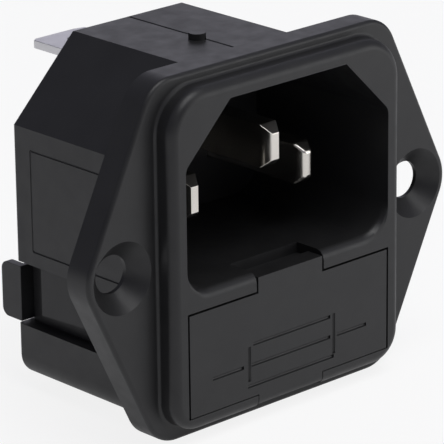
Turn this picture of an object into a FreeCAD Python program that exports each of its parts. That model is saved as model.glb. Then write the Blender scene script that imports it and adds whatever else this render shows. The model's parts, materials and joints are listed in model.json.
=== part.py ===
import FreeCAD, Part
import math
import os

# Appliance inlet for panel fixing, with a fuse drawer under the pins. All sizes in millimetres.
# Frame: X to the right seen from the front, Y from the panel into the equipment, Z up. The origin
# is on the back face of the flange, midway between the two screws.

# Panel fixing
SCREW_SPACING = 36.0
SCREW_HOLE_D = 3.5
COUNTERSINK_D = 6.6
EAR_MARGIN = 3.9
FLANGE_THICKNESS = 2.75
FLANGE_TOP_WIDTH = 26.5
FLANGE_CORNER_R = 5.7
FLANGE_STRIP = 1.05
FLANGE_EDGE_R = 0.4

# Raised face around the opening and the drawer
FACE_RISE = 2.05
FACE_EDGE_R = 0.9
FACE_ROOT_R = 0.3
FACE_TOP_R = 4.1
FACE_BOTTOM_R = 3.0
FACE_SIDE_RIM = 1.6
FACE_TOP_RIM = 1.5
FACE_BOTTOM_RIM = 1.15

# Opening for the connector
INLET_WIDTH = 24.7
INLET_HEIGHT = 16.8
INLET_DEPTH = 17.2
INLET_FLOOR_BELOW_SCREWS = 2.6
INLET_CHAMFER = 5.3
INLET_CORNER_R = 3.0
INLET_SHOULDER_R = 1.2
INLET_LIP_R = 0.9

# Pins
PIN_PITCH = 14.0
PIN_RISE = 4.0
PIN_WIDTH = 2.0
PIN_HEIGHT = 4.0
PIN_TIP_LENGTH = 1.4
PIN_TIP_SIDE_TAPER = 0.58
PIN_TIP_END_TAPER = 0.78
LINE_PIN_SETBACK = 4.8
EARTH_PIN_SETBACK = 1.8
PIN_FIT = 0.02
RIVET_D = 1.7
RIVET_HEAD_D = 2.8
RIVET_HEAD_HEIGHT = 0.5

# Body behind the panel
BODY_DEPTH = 16.6
SIDE_WALL = 1.45
TOP_WALL = 1.6
SLOPE_WALL = 0.8
BOTTOM_WALL = 1.15
BODY_BOTTOM_R = 1.5
BODY_EDGE_R = 0.4
GATE_MARK_D = 1.6
GATE_MARK_HEIGHT = 0.6
GATE_MARK_DEPTH = 6.6
GATE_MARK_OFF_CENTRE = 0.4

# Latch panel, finger slot and pocket in each side of the body
LATCH_ABOVE_BAY = 0.3
LATCH_HEIGHT = 6.05
LATCH_SLOT_HEIGHT = 1.6
LATCH_RECESS_DEPTH = 1.4
LATCH_LEAN = 1.1
PANEL_ROOM = 2.5
POCKET_LENGTH = 2.8

# Fuse drawer
DRAWER_SILL = 1.9
DRAWER_FACE_THICKNESS = 1.8
DRAWER_FACE_GAP = 0.2
DRAWER_PULL_GAP = 0.08
DRAWER_SEAT_GAP = 0.05
TRAY_SIDE_INSET = 0.5
TRAY_TOP_INSET = 0.3
TRAY_BOTTOM_INSET = 1.2
TRAY_FLOOR = 1.33
TRAY_GAP = 0.15
TRAY_WALL = 0.8
TAB_WIDTH = 7.9
TAB_RISE = 1.5
PULL_DROP = 0.95
PRY_LENGTH = 1.6
PRY_DEPTH = 1.0

# Fuses
FUSE_LENGTH = 20.0
FUSE_D = 5.2
FUSE_CAP_LENGTH = 5.0
FUSE_CAP_WALL = 0.15
FUSE_GLASS_WALL = 0.5
FUSE_WIRE_D = 0.3
FUSE_FIT = 0.02
TROUGH_GAP = 0.12

# Sheet metal inside and behind
STRIP_THICKNESS = 0.8
TAB_TERMINAL_WIDTH = 6.3
TAB_TERMINAL_LENGTH = 10.25
TAB_TERMINAL_OFFSET = 4.0
TAB_TERMINAL_HOLE_D = 1.6
TAB_TERMINAL_CHAMFER = 0.8
BEND_INNER_R = 0.3
STRIP_MARGIN = 2.4
LINK_CORNER_R = 1.0
CONTACT_HEIGHT = 4.0
CONTACT_FIT = 0.02
CONTACT_GAP = 0.06
SPRING_THICKNESS = 0.35
SPRING_BOW = 0.6
SPRING_ROOT_LENGTH = 2.3
SPRING_BEND_R = 0.5
SPRING_FLAT_LENGTH = 0.7
SPRING_TIP_REACH = 1.3
LEG_FRONT_GAP = 0.9

# Rear cover
COVER_THICKNESS = 0.9
COVER_GAP = 0.12
EAR_THICKNESS = 0.5
EAR_HEIGHT_GAP = 0.5
EAR_SEAT_GAP = 0.1
WING_THICKNESS = 0.8
WING_LENGTH = 2.7
WING_CORNER_R = 0.8

# How far a cut runs past the face it opens, and how many steps make a soft curve
OVERSHOOT = 1.0
CURVE_STEPS = 3

# Places that follow from the sizes above
INLET_HALF = INLET_WIDTH / 2
INLET_FLOOR = -INLET_FLOOR_BELOW_SCREWS
INLET_TOP = INLET_FLOOR + INLET_HEIGHT
INLET_MIDDLE = INLET_FLOOR + INLET_HEIGHT / 2
FACE_FRONT = -(FLANGE_THICKNESS + FACE_RISE)
INLET_END = FACE_FRONT + INLET_DEPTH
LINE_PIN_Z = INLET_MIDDLE - PIN_RISE / 2
EARTH_PIN_Z = INLET_MIDDLE + PIN_RISE / 2

SPRING_TOUCH_X = FUSE_LENGTH / 2 + CONTACT_GAP + SPRING_THICKNESS / 2
SPRING_ROOT_X = SPRING_TOUCH_X + SPRING_BOW
LEG_INNER = SPRING_ROOT_X + SPRING_THICKNESS / 2 + CONTACT_FIT
LEG_OUTER = LEG_INNER + STRIP_THICKNESS
BAY_HALF = LEG_OUTER + CONTACT_FIT
TRAY_HALF = BAY_HALF - TRAY_GAP
DRAWER_HALF = TRAY_HALF + TRAY_SIDE_INSET

TROUGH_R = FUSE_D / 2 + TROUGH_GAP
DRAWER_TOP = INLET_FLOOR - DRAWER_SILL
TRAY_TOP = DRAWER_TOP - TRAY_TOP_INSET
FUSE_Z = TRAY_TOP - TRAY_FLOOR - TROUGH_R
TRAY_BOTTOM = FUSE_Z - TROUGH_R - TRAY_FLOOR
DRAWER_BOTTOM = TRAY_BOTTOM - TRAY_BOTTOM_INSET
BAY_TOP = TRAY_TOP + TRAY_GAP
BAY_BOTTOM = TRAY_BOTTOM - TRAY_GAP

DRAWER_FACE_BACK = FACE_FRONT + DRAWER_FACE_THICKNESS
SPARE_FUSE_Y = DRAWER_FACE_BACK + TRAY_WALL + TROUGH_R
FUSE_Y = SPARE_FUSE_Y + 2 * TROUGH_R + TRAY_WALL
TRAY_END = FUSE_Y + TROUGH_R + TRAY_WALL
LEG_FRONT = TRAY_END + LEG_FRONT_GAP

FACE_HALF = max(INLET_HALF, DRAWER_HALF + DRAWER_FACE_GAP) + FACE_SIDE_RIM
FACE_TOP = INLET_TOP + FACE_TOP_RIM
FACE_BOTTOM = DRAWER_BOTTOM - DRAWER_FACE_GAP - FACE_BOTTOM_RIM
FLANGE_HALF_HEIGHT = max(FACE_TOP, -FACE_BOTTOM) + FLANGE_STRIP

BODY_HALF = max(INLET_HALF, DRAWER_HALF) + SIDE_WALL
BODY_TOP = INLET_TOP + TOP_WALL
BODY_BOTTOM = BAY_BOTTOM - BOTTOM_WALL
INLET_SLOPE_REACH = INLET_HALF + INLET_TOP - INLET_CHAMFER
BODY_CHAMFER = BODY_HALF + BODY_TOP - INLET_SLOPE_REACH - SLOPE_WALL * math.sqrt(2)

LATCH_TOP = BAY_TOP + LATCH_ABOVE_BAY
LATCH_BOTTOM = LATCH_TOP - LATCH_HEIGHT
EAR_FRONT = BODY_DEPTH - EAR_THICKNESS
POCKET_FRONT = EAR_FRONT - EAR_SEAT_GAP - POCKET_LENGTH
TERMINAL_TIP = BODY_DEPTH + TAB_TERMINAL_LENGTH


def front_view(u, v, w):
    """Point of an outline drawn in X and Z, at depth w."""
    return FreeCAD.Vector(u, w, v)


def side_view(u, v, w):
    """Point of an outline drawn in Y and Z, at width w."""
    return FreeCAD.Vector(w, u, v)


def top_view(u, v, w):
    """Point of an outline drawn in X and Y, at height w."""
    return FreeCAD.Vector(u, v, w)


def rounded_wire(corners, view, level):
    """Closed wire through (u, v, radius) corners, with an arc at each corner that has a radius."""
    points = [FreeCAD.Vector(u, v, 0) for u, v, _ in corners]
    stops = []
    for i, (_, _, radius) in enumerate(corners):
        here = points[i]
        back = (points[i - 1] - here).normalize()
        ahead = (points[(i + 1) % len(points)] - here).normalize()
        if radius == 0:
            stops.append((here, None, here))
            continue
        half_angle = back.getAngle(ahead) / 2
        setback = radius / math.tan(half_angle)
        bisector = (back + ahead).normalize()
        middle = here + bisector * (radius / math.sin(half_angle) - radius)
        stops.append((here + back * setback, middle, here + ahead * setback))

    def placed(point):
        return view(point.x, point.y, level)

    edges = []
    for i, (start, middle, end) in enumerate(stops):
        if middle is not None:
            edges.append(Part.Arc(placed(start), placed(middle), placed(end)).toShape())
        following = stops[(i + 1) % len(stops)][0]
        if end.distanceToPoint(following) > 1e-6:
            edges.append(Part.LineSegment(placed(end), placed(following)).toShape())
    return Part.Wire(edges)


def extruded(corners, view, start, end):
    """Solid made by moving an outline from one level to another."""
    along = view(0, 0, end) - view(0, 0, start)
    return Part.Face(rounded_wire(corners, view, start)).extrude(along)


def block(x, y, z):
    """Box between the (low, high) limits given for each axis."""
    size = (x[1] - x[0], y[1] - y[0], z[1] - z[0])
    return Part.makeBox(*size, FreeCAD.Vector(x[0], y[0], z[0]))


def mirrored(shape):
    """The same shape on the other side of the middle plane."""
    return shape.mirror(FreeCAD.Vector(0, 0, 0), FreeCAD.Vector(1, 0, 0))


def both_sides(shape):
    """A shape on the right with its mirror image on the left."""
    return [shape, mirrored(shape)]


def edge_rounded(solid, level, radius):
    """Solid with the edges that lie wholly at one depth rounded."""
    rim = [e for e in solid.Edges if abs(e.BoundBox.YMin - level) + abs(e.BoundBox.YMax - level) < 1e-4]
    return solid.makeFillet(radius, rim)


# Housing

def flange():
    """Six-sided plate, its two ears rounded about the screws."""
    corner_x = FLANGE_TOP_WIDTH / 2
    screw_x = SCREW_SPACING / 2
    reach = math.hypot(screw_x - corner_x, FLANGE_HALF_HEIGHT)
    slope = math.atan2(FLANGE_HALF_HEIGHT, corner_x - screw_x) - math.acos(EAR_MARGIN / reach)
    tip_x = screw_x + EAR_MARGIN / math.cos(slope)
    corners = [
        (-corner_x, FLANGE_HALF_HEIGHT, FLANGE_CORNER_R),
        (corner_x, FLANGE_HALF_HEIGHT, FLANGE_CORNER_R),
        (tip_x, 0, EAR_MARGIN),
        (corner_x, -FLANGE_HALF_HEIGHT, FLANGE_CORNER_R),
        (-corner_x, -FLANGE_HALF_HEIGHT, FLANGE_CORNER_R),
        (-tip_x, 0, EAR_MARGIN),
    ]
    plate = extruded(corners, front_view, 0, -FLANGE_THICKNESS)
    return edge_rounded(plate, -FLANGE_THICKNESS, FLANGE_EDGE_R)


def face_outline(spread=0):
    """Outline of the raised face, spread by the foot that widens at the flange."""
    left, right = -FACE_HALF - spread, FACE_HALF + spread
    top, bottom = FACE_TOP + spread, FACE_BOTTOM - spread
    return [
        (left, top, FACE_TOP_R), (right, top, FACE_TOP_R),
        (right, bottom, FACE_BOTTOM_R), (left, bottom, FACE_BOTTOM_R),
    ]


def quarter_curve(radius):
    """(along, across) pairs from a flat face into a wall, round a quarter circle."""
    turns = [math.pi / 2 * i / CURVE_STEPS for i in range(CURVE_STEPS + 1)]
    return [(radius * (1 - math.cos(a)), radius * (1 - math.sin(a))) for a in turns]


def face_plate():
    """Raised face as a plain plate with a soft front edge."""
    return edge_rounded(extruded(face_outline(), front_view, 0, FACE_FRONT), FACE_FRONT, FACE_EDGE_R)


def raised_face():
    """Rim in front of the flange, with a soft front edge and a hollowed foot."""
    sections = []
    for rise, spread in quarter_curve(FACE_ROOT_R):
        sections.append(rounded_wire(face_outline(spread), front_view, -FLANGE_THICKNESS - rise))
    return face_plate().fuse(Part.makeLoft(sections, True, True))


def body_shell():
    """Outside of the part behind the panel."""
    corners = [
        (-BODY_HALF + BODY_CHAMFER, BODY_TOP, 0), (BODY_HALF - BODY_CHAMFER, BODY_TOP, 0),
        (BODY_HALF, BODY_TOP - BODY_CHAMFER, 0), (BODY_HALF, BODY_BOTTOM, BODY_BOTTOM_R),
        (-BODY_HALF, BODY_BOTTOM, BODY_BOTTOM_R), (-BODY_HALF, BODY_TOP - BODY_CHAMFER, 0),
    ]
    shell = extruded(corners, front_view, -FLANGE_THICKNESS / 2, BODY_DEPTH)
    shell = edge_rounded(shell, BODY_DEPTH, BODY_EDGE_R)
    gate = Part.makeCylinder(GATE_MARK_D / 2, GATE_MARK_HEIGHT + TOP_WALL / 2,
                             FreeCAD.Vector(-GATE_MARK_OFF_CENTRE, GATE_MARK_DEPTH, BODY_TOP - TOP_WALL / 2))
    return shell.fuse(gate)


def inlet_outline(lip=0):
    """Outline of the opening, its floor lowered by the soft lip."""
    floor = INLET_FLOOR - lip
    shoulder = INLET_TOP - INLET_CHAMFER
    roof_half = INLET_HALF - INLET_CHAMFER
    return [
        (-roof_half, INLET_TOP, 0), (roof_half, INLET_TOP, 0),
        (INLET_HALF, shoulder, INLET_SHOULDER_R), (INLET_HALF, floor, INLET_CORNER_R),
        (-INLET_HALF, floor, INLET_CORNER_R), (-INLET_HALF, shoulder, INLET_SHOULDER_R),
    ]


def inlet_hollow():
    """Space for the connector, with a soft lip along the floor."""
    hollow = extruded(inlet_outline(), front_view, FACE_FRONT, INLET_END)
    sections = []
    for along, across in quarter_curve(INLET_LIP_R):
        sections.append(rounded_wire(inlet_outline(across), front_view, FACE_FRONT + along))
    return hollow.fuse(Part.makeLoft(sections, True, True))


def screw_hole():
    """Screw hole on the right with its countersink, open at both faces of the flange."""
    back = FreeCAD.Vector(SCREW_SPACING / 2, 0, 0)
    front = FreeCAD.Vector(SCREW_SPACING / 2, -FLANGE_THICKNESS, 0)
    inward = FreeCAD.Vector(0, 1, 0)
    bore = Part.makeCylinder(SCREW_HOLE_D / 2, FLANGE_THICKNESS, back, inward * -1)
    depth = (COUNTERSINK_D - SCREW_HOLE_D) / 2
    return bore.fuse(Part.makeCone(COUNTERSINK_D / 2, SCREW_HOLE_D / 2, depth, front, inward))


def pin_places():
    """(x, z) of the line, neutral and earth pins."""
    return [(-PIN_PITCH / 2, LINE_PIN_Z), (PIN_PITCH / 2, LINE_PIN_Z), (0, EARTH_PIN_Z)]


def pin_slots():
    """Slots for the pins through the rear wall of the inlet."""
    half_width, half_height = PIN_WIDTH / 2 + PIN_FIT, PIN_HEIGHT / 2 + PIN_FIT
    depth = (INLET_END, BODY_DEPTH)
    return [block((x - half_width, x + half_width), depth, (z - half_height, z + half_height))
            for x, z in pin_places()]


def drawer_face_outline(gap=0, pull_gap=0):
    """Outline of the drawer's face: a plate with a tab above and a pull below, and gaps around them."""
    half, tab_half, pull_half = DRAWER_HALF + gap, TAB_WIDTH / 2 + gap, TAB_WIDTH / 2 + pull_gap
    top, bottom = DRAWER_TOP + gap, DRAWER_BOTTOM - pull_gap
    tab_top = DRAWER_TOP + TAB_RISE + gap
    pull_bottom = DRAWER_BOTTOM - PULL_DROP - pull_gap
    return [
        (-half, top, 0), (-tab_half, top, 0), (-tab_half, tab_top, 0), (tab_half, tab_top, 0),
        (tab_half, top, 0), (half, top, 0), (half, bottom, 0), (pull_half, bottom, 0),
        (pull_half, pull_bottom, 0), (-pull_half, pull_bottom, 0), (-pull_half, bottom, 0), (-half, bottom, 0),
    ]


def drawer_bay():
    """Space for the drawer: a recess for its face, a bay for its tray and a notch to pry it from."""
    face_end = DRAWER_FACE_BACK + DRAWER_SEAT_GAP
    recess = extruded(drawer_face_outline(DRAWER_FACE_GAP, DRAWER_PULL_GAP), front_view, FACE_FRONT, face_end)
    bay = block((-BAY_HALF, BAY_HALF), (FACE_FRONT, BODY_DEPTH), (BAY_BOTTOM, BAY_TOP))
    notch_half = TAB_WIDTH / 2 + DRAWER_FACE_GAP
    open_front = block((-notch_half, notch_half), (FACE_FRONT, face_end), (DRAWER_TOP, INLET_FLOOR + OVERSHOOT))
    pry = block((-notch_half, notch_half), (FACE_FRONT, face_end + PRY_LENGTH),
                (INLET_FLOOR - PRY_DEPTH, INLET_FLOOR + OVERSHOOT))
    pull_half = TAB_WIDTH / 2 + DRAWER_PULL_GAP
    open_pull = block((-pull_half, pull_half), (FACE_FRONT, face_end), (FACE_BOTTOM - OVERSHOOT, DRAWER_BOTTOM))
    return [recess, bay, open_front, pry, open_pull]


def latch_cuts():
    """Latch panel, straight through the equipment's panel and then leaning out, with its slot and pocket."""
    foot = BODY_HALF - LATCH_LEAN
    lean = extruded([(foot, 0, 0), (BODY_HALF + OVERSHOOT, 0, 0), (BODY_HALF + OVERSHOOT, POCKET_FRONT, 0),
                     (BODY_HALF, POCKET_FRONT, 0), (foot, PANEL_ROOM, 0)],
                    top_view, LATCH_BOTTOM, LATCH_TOP)
    outward = (BODY_HALF - LATCH_RECESS_DEPTH, BODY_HALF + OVERSHOOT)
    slot = block(outward, (0, POCKET_FRONT), (LATCH_BOTTOM, LATCH_BOTTOM + LATCH_SLOT_HEIGHT))
    pocket = block(outward, (POCKET_FRONT, BODY_DEPTH), (LATCH_BOTTOM, LATCH_TOP))
    ear_way = block((BAY_HALF, BODY_HALF + OVERSHOOT), (EAR_FRONT - EAR_SEAT_GAP, BODY_DEPTH + OVERSHOOT),
                    (LATCH_BOTTOM, LATCH_TOP))
    return [lean, slot, pocket, ear_way]


def housing():
    """The one-piece moulding that everything else is mounted in."""
    solid = flange().multiFuse([raised_face(), body_shell()])
    cuts = [inlet_hollow()] + pin_slots() + drawer_bay()
    for shape in [screw_hole()] + latch_cuts():
        cuts += both_sides(shape)
    return solid.cut(cuts).removeSplitter()


# Pins and sheet metal

def pin(x, z, setback):
    """Flat pin with a tapered tip, riveted over behind the rear wall."""
    tip = FACE_FRONT + setback

    def section(side_inset, end_inset, level):
        half_width, half_height = PIN_WIDTH / 2 - side_inset, PIN_HEIGHT / 2 - end_inset
        corners = [(x - half_width, z - half_height, 0), (x + half_width, z - half_height, 0),
                   (x + half_width, z + half_height, 0), (x - half_width, z + half_height, 0)]
        return rounded_wire(corners, front_view, level)

    point = section(PIN_TIP_SIDE_TAPER, PIN_TIP_END_TAPER, tip)
    taper = Part.makeLoft([point, section(0, 0, tip + PIN_TIP_LENGTH)], True, True)
    shank = block((x - PIN_WIDTH / 2, x + PIN_WIDTH / 2), (tip + PIN_TIP_LENGTH, BODY_DEPTH),
                  (z - PIN_HEIGHT / 2, z + PIN_HEIGHT / 2))
    inward = FreeCAD.Vector(0, 1, 0)
    stem = Part.makeCylinder(RIVET_D / 2, STRIP_THICKNESS, FreeCAD.Vector(x, BODY_DEPTH, z), inward)
    head = Part.makeCone(RIVET_HEAD_D / 2, RIVET_D / 2, RIVET_HEAD_HEIGHT,
                         FreeCAD.Vector(x, BODY_DEPTH + STRIP_THICKNESS, z), inward)
    return taper.multiFuse([shank, stem, head]).removeSplitter()


def rivet_hole(x, z):
    """Hole for a pin's riveted stem through a strip on the rear wall."""
    start = FreeCAD.Vector(x, BODY_DEPTH, z)
    return Part.makeCylinder(RIVET_D / 2 + PIN_FIT, STRIP_THICKNESS, start, FreeCAD.Vector(0, 1, 0))


def tab_blank(level, start):
    """Push-on tab lying flat at one height, its tip chamfered, with its latch hole."""
    half = TAB_TERMINAL_WIDTH / 2
    nose = TAB_TERMINAL_CHAMFER
    corners = [(-half, start, 0), (half, start, 0), (half, TERMINAL_TIP - nose, 0),
               (half - nose, TERMINAL_TIP, 0), (nose - half, TERMINAL_TIP, 0), (-half, TERMINAL_TIP - nose, 0)]
    low, high = level - STRIP_THICKNESS / 2, level + STRIP_THICKNESS / 2
    hole_place = FreeCAD.Vector(0, TERMINAL_TIP - half, low)
    return extruded(corners, top_view, low, high).cut(
        Part.makeCylinder(TAB_TERMINAL_HOLE_D / 2, STRIP_THICKNESS, hole_place))


def angle_terminal(x, z, turn):
    """Terminal riveted to a pin: a foot on the rear wall, bent into a push-on tab."""
    outer_r = BEND_INNER_R + STRIP_THICKNESS
    back, foot_end = BODY_DEPTH, -STRIP_MARGIN
    tab_low = TAB_TERMINAL_OFFSET - STRIP_THICKNESS / 2
    tab_high = TAB_TERMINAL_OFFSET + STRIP_THICKNESS / 2
    elbow_end = back + 2 * outer_r
    profile = [(back, foot_end, 0), (back + STRIP_THICKNESS, foot_end, 0),
               (back + STRIP_THICKNESS, tab_low, BEND_INNER_R), (elbow_end, tab_low, 0),
               (elbow_end, tab_high, 0), (back, tab_high, outer_r)]
    half = TAB_TERMINAL_WIDTH / 2
    strip = extruded(profile, side_view, -half, half).fuse(tab_blank(TAB_TERMINAL_OFFSET, elbow_end))
    strip = strip.cut(rivet_hole(0, 0)).removeSplitter()
    strip.rotate(FreeCAD.Vector(0, 0, 0), FreeCAD.Vector(0, 1, 0), turn)
    strip.translate(FreeCAD.Vector(x, 0, z))
    return strip


def contact_leg(end):
    """Strip along the inside of the bay's right wall, from beside the fuse to a given depth."""
    return block((LEG_INNER, LEG_OUTER), (LEG_FRONT, end), contact_band())


def contact_band(margin=0):
    """(low, high) of the strips and springs that touch the fuse's ends."""
    return (FUSE_Z - CONTACT_HEIGHT / 2 - margin, FUSE_Z + CONTACT_HEIGHT / 2 + margin)


def line_link():
    """Strip from the line pin down the rear wall and forward into the bay's left side."""
    low, high = contact_band()
    strip_top = LINE_PIN_Z + STRIP_MARGIN
    flag_end = PIN_PITCH / 2 - STRIP_MARGIN
    flag_low = LINE_PIN_Z - STRIP_MARGIN
    inner = LEG_OUTER - CONTACT_HEIGHT
    turn = LINK_CORNER_R
    corners = [(LEG_OUTER, low, 0), (LEG_OUTER, strip_top, turn), (flag_end, strip_top, turn),
               (flag_end, flag_low, turn), (inner, flag_low, turn), (inner, low, turn)]
    plate = extruded(corners, front_view, BODY_DEPTH, BODY_DEPTH + STRIP_THICKNESS)
    link = plate.fuse(contact_leg(BODY_DEPTH + STRIP_THICKNESS)).cut(rivet_hole(PIN_PITCH / 2, LINE_PIN_Z))
    return mirrored(link.removeSplitter())


def line_terminal():
    """Fused terminal: a leg inside the bay's right wall that widens into a push-on tab behind."""
    shoulder = BODY_DEPTH + STRIP_THICKNESS
    tab = tab_blank(0, shoulder)
    tab.rotate(FreeCAD.Vector(0, 0, 0), FreeCAD.Vector(0, 1, 0), 90)
    tab.translate(FreeCAD.Vector((LEG_INNER + LEG_OUTER) / 2, 0, FUSE_Z))
    return contact_leg(shoulder).fuse(tab).removeSplitter()


def ribbon(path, thickness, bend_r):
    """Outline of a bent strip of even thickness about a path of (x, y) points."""
    points = [FreeCAD.Vector(x, y, 0) for x, y in path]
    sides = [[], []]
    for i, here in enumerate(points):
        runs = []
        if i > 0:
            runs.append((here - points[i - 1]).normalize())
        if i < len(points) - 1:
            runs.append((points[i + 1] - here).normalize())
        normals = [FreeCAD.Vector(-run.y, run.x, 0) for run in runs]
        mitre = (normals[0] + normals[-1]).normalize()
        reach = thickness / 2 / mitre.dot(normals[0])
        turn = runs[0].cross(runs[-1]).z
        for side, sign in zip(sides, (1, -1)):
            place = here + mitre * (reach * sign)
            radius = 0
            if len(runs) == 2:
                radius = bend_r + (thickness if turn * sign < 0 else 0)
            side.append((place.x, place.y, radius))
    return sides[0] + sides[1][::-1]


def fuse_spring():
    """Leaf spring on the right contact leg, bowed against the end of the fuse."""
    path = [(SPRING_ROOT_X, LEG_FRONT + SPRING_ROOT_LENGTH), (SPRING_ROOT_X, LEG_FRONT + SPRING_THICKNESS),
            (SPRING_TOUCH_X, FUSE_Y + SPRING_FLAT_LENGTH / 2), (SPRING_TOUCH_X, FUSE_Y - SPRING_FLAT_LENGTH / 2),
            (SPRING_ROOT_X, FUSE_Y - SPRING_TIP_REACH)]
    low, high = contact_band()
    return extruded(ribbon(path, SPRING_THICKNESS, SPRING_BEND_R), top_view, low, high)


# Rear cover

def rear_cover():
    """Plate that closes the bay behind the drawer, with an ear and a wing at each side."""
    half = BAY_HALF - COVER_GAP
    depth = (BODY_DEPTH - COVER_THICKNESS, BODY_DEPTH)
    plate = block((-half, half), depth, (BAY_BOTTOM + COVER_GAP, BAY_TOP - COVER_GAP))
    low, high = LATCH_BOTTOM + EAR_HEIGHT_GAP / 2, LATCH_TOP - EAR_HEIGHT_GAP
    ear = block((half, BODY_HALF), (EAR_FRONT, BODY_DEPTH), (low, high))
    wing_end = EAR_FRONT + WING_LENGTH
    wing = extruded([(EAR_FRONT, low, 0), (wing_end, low, WING_CORNER_R),
                     (wing_end, high, WING_CORNER_R), (EAR_FRONT, high, 0)],
                    side_view, BODY_HALF - WING_THICKNESS, BODY_HALF)
    notch = block((LEG_INNER - COVER_GAP, LEG_OUTER + COVER_GAP), (0, BODY_DEPTH + OVERSHOOT),
                  contact_band(COVER_GAP))
    return plate.multiFuse(both_sides(ear) + both_sides(wing)).cut(both_sides(notch)).removeSplitter()


# Drawer and fuses

def trough(y, half_length):
    """Round-bottomed trough for a fuse, open above."""
    along = FreeCAD.Vector(1, 0, 0)
    bottom = Part.makeCylinder(TROUGH_R, 2 * half_length, FreeCAD.Vector(-half_length, y, FUSE_Z), along)
    above = block((-half_length, half_length), (y - TROUGH_R, y + TROUGH_R), (FUSE_Z, TRAY_TOP + OVERSHOOT))
    return bottom.fuse(above)


def fuse_drawer():
    """Drawer moulding: face with its tab and pull, and a tray with two troughs."""
    face = extruded(drawer_face_outline(), front_view, FACE_FRONT, DRAWER_FACE_BACK).common(face_plate())
    tray = block((-TRAY_HALF, TRAY_HALF), (DRAWER_FACE_BACK, TRAY_END), (TRAY_BOTTOM, TRAY_TOP))
    spare = trough(SPARE_FUSE_Y, FUSE_LENGTH / 2 + TROUGH_GAP)
    active = trough(FUSE_Y, TRAY_HALF + OVERSHOOT)
    spring_way = block((FUSE_LENGTH / 2 - TROUGH_GAP, TRAY_HALF + OVERSHOOT),
                       (FUSE_Y - FUSE_D / 2, TRAY_END + OVERSHOOT), (FUSE_Z - TROUGH_R, TRAY_TOP + OVERSHOOT))
    return face.fuse(tray).cut([spare, active] + both_sides(spring_way)).removeSplitter()


def fuse_tube(outer_r, inner_r, half_length, y):
    """Round tube along X, centred on a fuse's axis."""
    along = FreeCAD.Vector(1, 0, 0)
    start = FreeCAD.Vector(-half_length, y, FUSE_Z)
    outer = Part.makeCylinder(outer_r, 2 * half_length, start, along)
    if inner_r == 0:
        return outer
    return outer.cut(Part.makeCylinder(inner_r, 2 * half_length, start, along))


def fuse_parts(y):
    """Glass, right cap, left cap and wire of one cartridge fuse."""
    glass_r = FUSE_D / 2 - FUSE_CAP_WALL - FUSE_FIT
    inside_half = FUSE_LENGTH / 2 - FUSE_CAP_WALL - FUSE_FIT
    glass = fuse_tube(glass_r, glass_r - FUSE_GLASS_WALL, inside_half, y)
    wire = fuse_tube(FUSE_WIRE_D / 2, 0, inside_half, y)
    along = FreeCAD.Vector(1, 0, 0)
    rim = FreeCAD.Vector(FUSE_LENGTH / 2 - FUSE_CAP_LENGTH, y, FUSE_Z)
    cup = Part.makeCylinder(FUSE_D / 2, FUSE_CAP_LENGTH, rim, along)
    hollow = Part.makeCylinder(FUSE_D / 2 - FUSE_CAP_WALL, FUSE_CAP_LENGTH - FUSE_CAP_WALL, rim, along)
    cap = cup.cut(hollow)
    return glass, cap, mirrored(cap), wire


def save(name, shape):
    """Write one piece to its own file."""
    shape.exportStep("parts/" + name + ".step")


def main():
    """Build every piece and write it under its own name."""
    os.makedirs("parts", exist_ok=True)
    save("housing", housing())
    save("rear_cover", rear_cover())
    line_place, neutral_place, earth_place = pin_places()
    save("line_pin", pin(*line_place, LINE_PIN_SETBACK))
    save("neutral_pin", pin(*neutral_place, LINE_PIN_SETBACK))
    save("earth_pin", pin(*earth_place, EARTH_PIN_SETBACK))
    save("neutral_terminal", angle_terminal(*neutral_place, 90))
    save("earth_terminal", angle_terminal(*earth_place, 0))
    save("line_link", line_link())
    save("line_terminal", line_terminal())
    save("fuse_spring_right", fuse_spring())
    save("fuse_spring_left", mirrored(fuse_spring()))
    save("fuse_drawer", fuse_drawer())
    for prefix, y in (("fuse", FUSE_Y), ("spare_fuse", SPARE_FUSE_Y)):
        glass, right_cap, left_cap, wire = fuse_parts(y)
        save(prefix + "_glass", glass)
        save(prefix + "_cap_right", right_cap)
        save(prefix + "_cap_left", left_cap)
        save(prefix + "_wire", wire)


main()
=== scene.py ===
"""Looks of a panel inlet with a fuse drawer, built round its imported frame."""

import json
import logging
import math
from collections.abc import Callable
from dataclasses import dataclass, field
from enum import Enum

import bmesh
import bpy
from mathutils import Matrix, Vector


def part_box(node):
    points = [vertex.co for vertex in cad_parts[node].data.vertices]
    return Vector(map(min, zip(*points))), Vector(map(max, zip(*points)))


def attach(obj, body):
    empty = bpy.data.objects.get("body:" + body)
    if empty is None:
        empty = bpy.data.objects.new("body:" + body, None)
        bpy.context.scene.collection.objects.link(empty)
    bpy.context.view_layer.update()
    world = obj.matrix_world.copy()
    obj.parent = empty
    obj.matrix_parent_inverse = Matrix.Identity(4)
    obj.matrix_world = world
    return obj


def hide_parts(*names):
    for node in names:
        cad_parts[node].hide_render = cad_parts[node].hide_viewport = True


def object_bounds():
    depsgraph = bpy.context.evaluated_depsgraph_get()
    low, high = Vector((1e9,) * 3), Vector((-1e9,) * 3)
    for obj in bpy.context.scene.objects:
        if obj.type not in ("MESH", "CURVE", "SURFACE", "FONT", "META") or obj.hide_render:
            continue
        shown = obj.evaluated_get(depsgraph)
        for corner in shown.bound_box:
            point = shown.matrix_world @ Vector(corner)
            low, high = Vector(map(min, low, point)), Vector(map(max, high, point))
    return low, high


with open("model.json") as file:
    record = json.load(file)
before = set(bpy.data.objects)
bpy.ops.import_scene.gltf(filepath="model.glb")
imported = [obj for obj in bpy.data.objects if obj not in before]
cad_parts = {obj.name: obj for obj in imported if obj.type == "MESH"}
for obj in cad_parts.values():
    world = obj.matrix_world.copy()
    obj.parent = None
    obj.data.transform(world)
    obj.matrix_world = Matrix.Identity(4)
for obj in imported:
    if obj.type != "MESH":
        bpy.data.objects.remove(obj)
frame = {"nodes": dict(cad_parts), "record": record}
FRAME_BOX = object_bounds()

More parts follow.
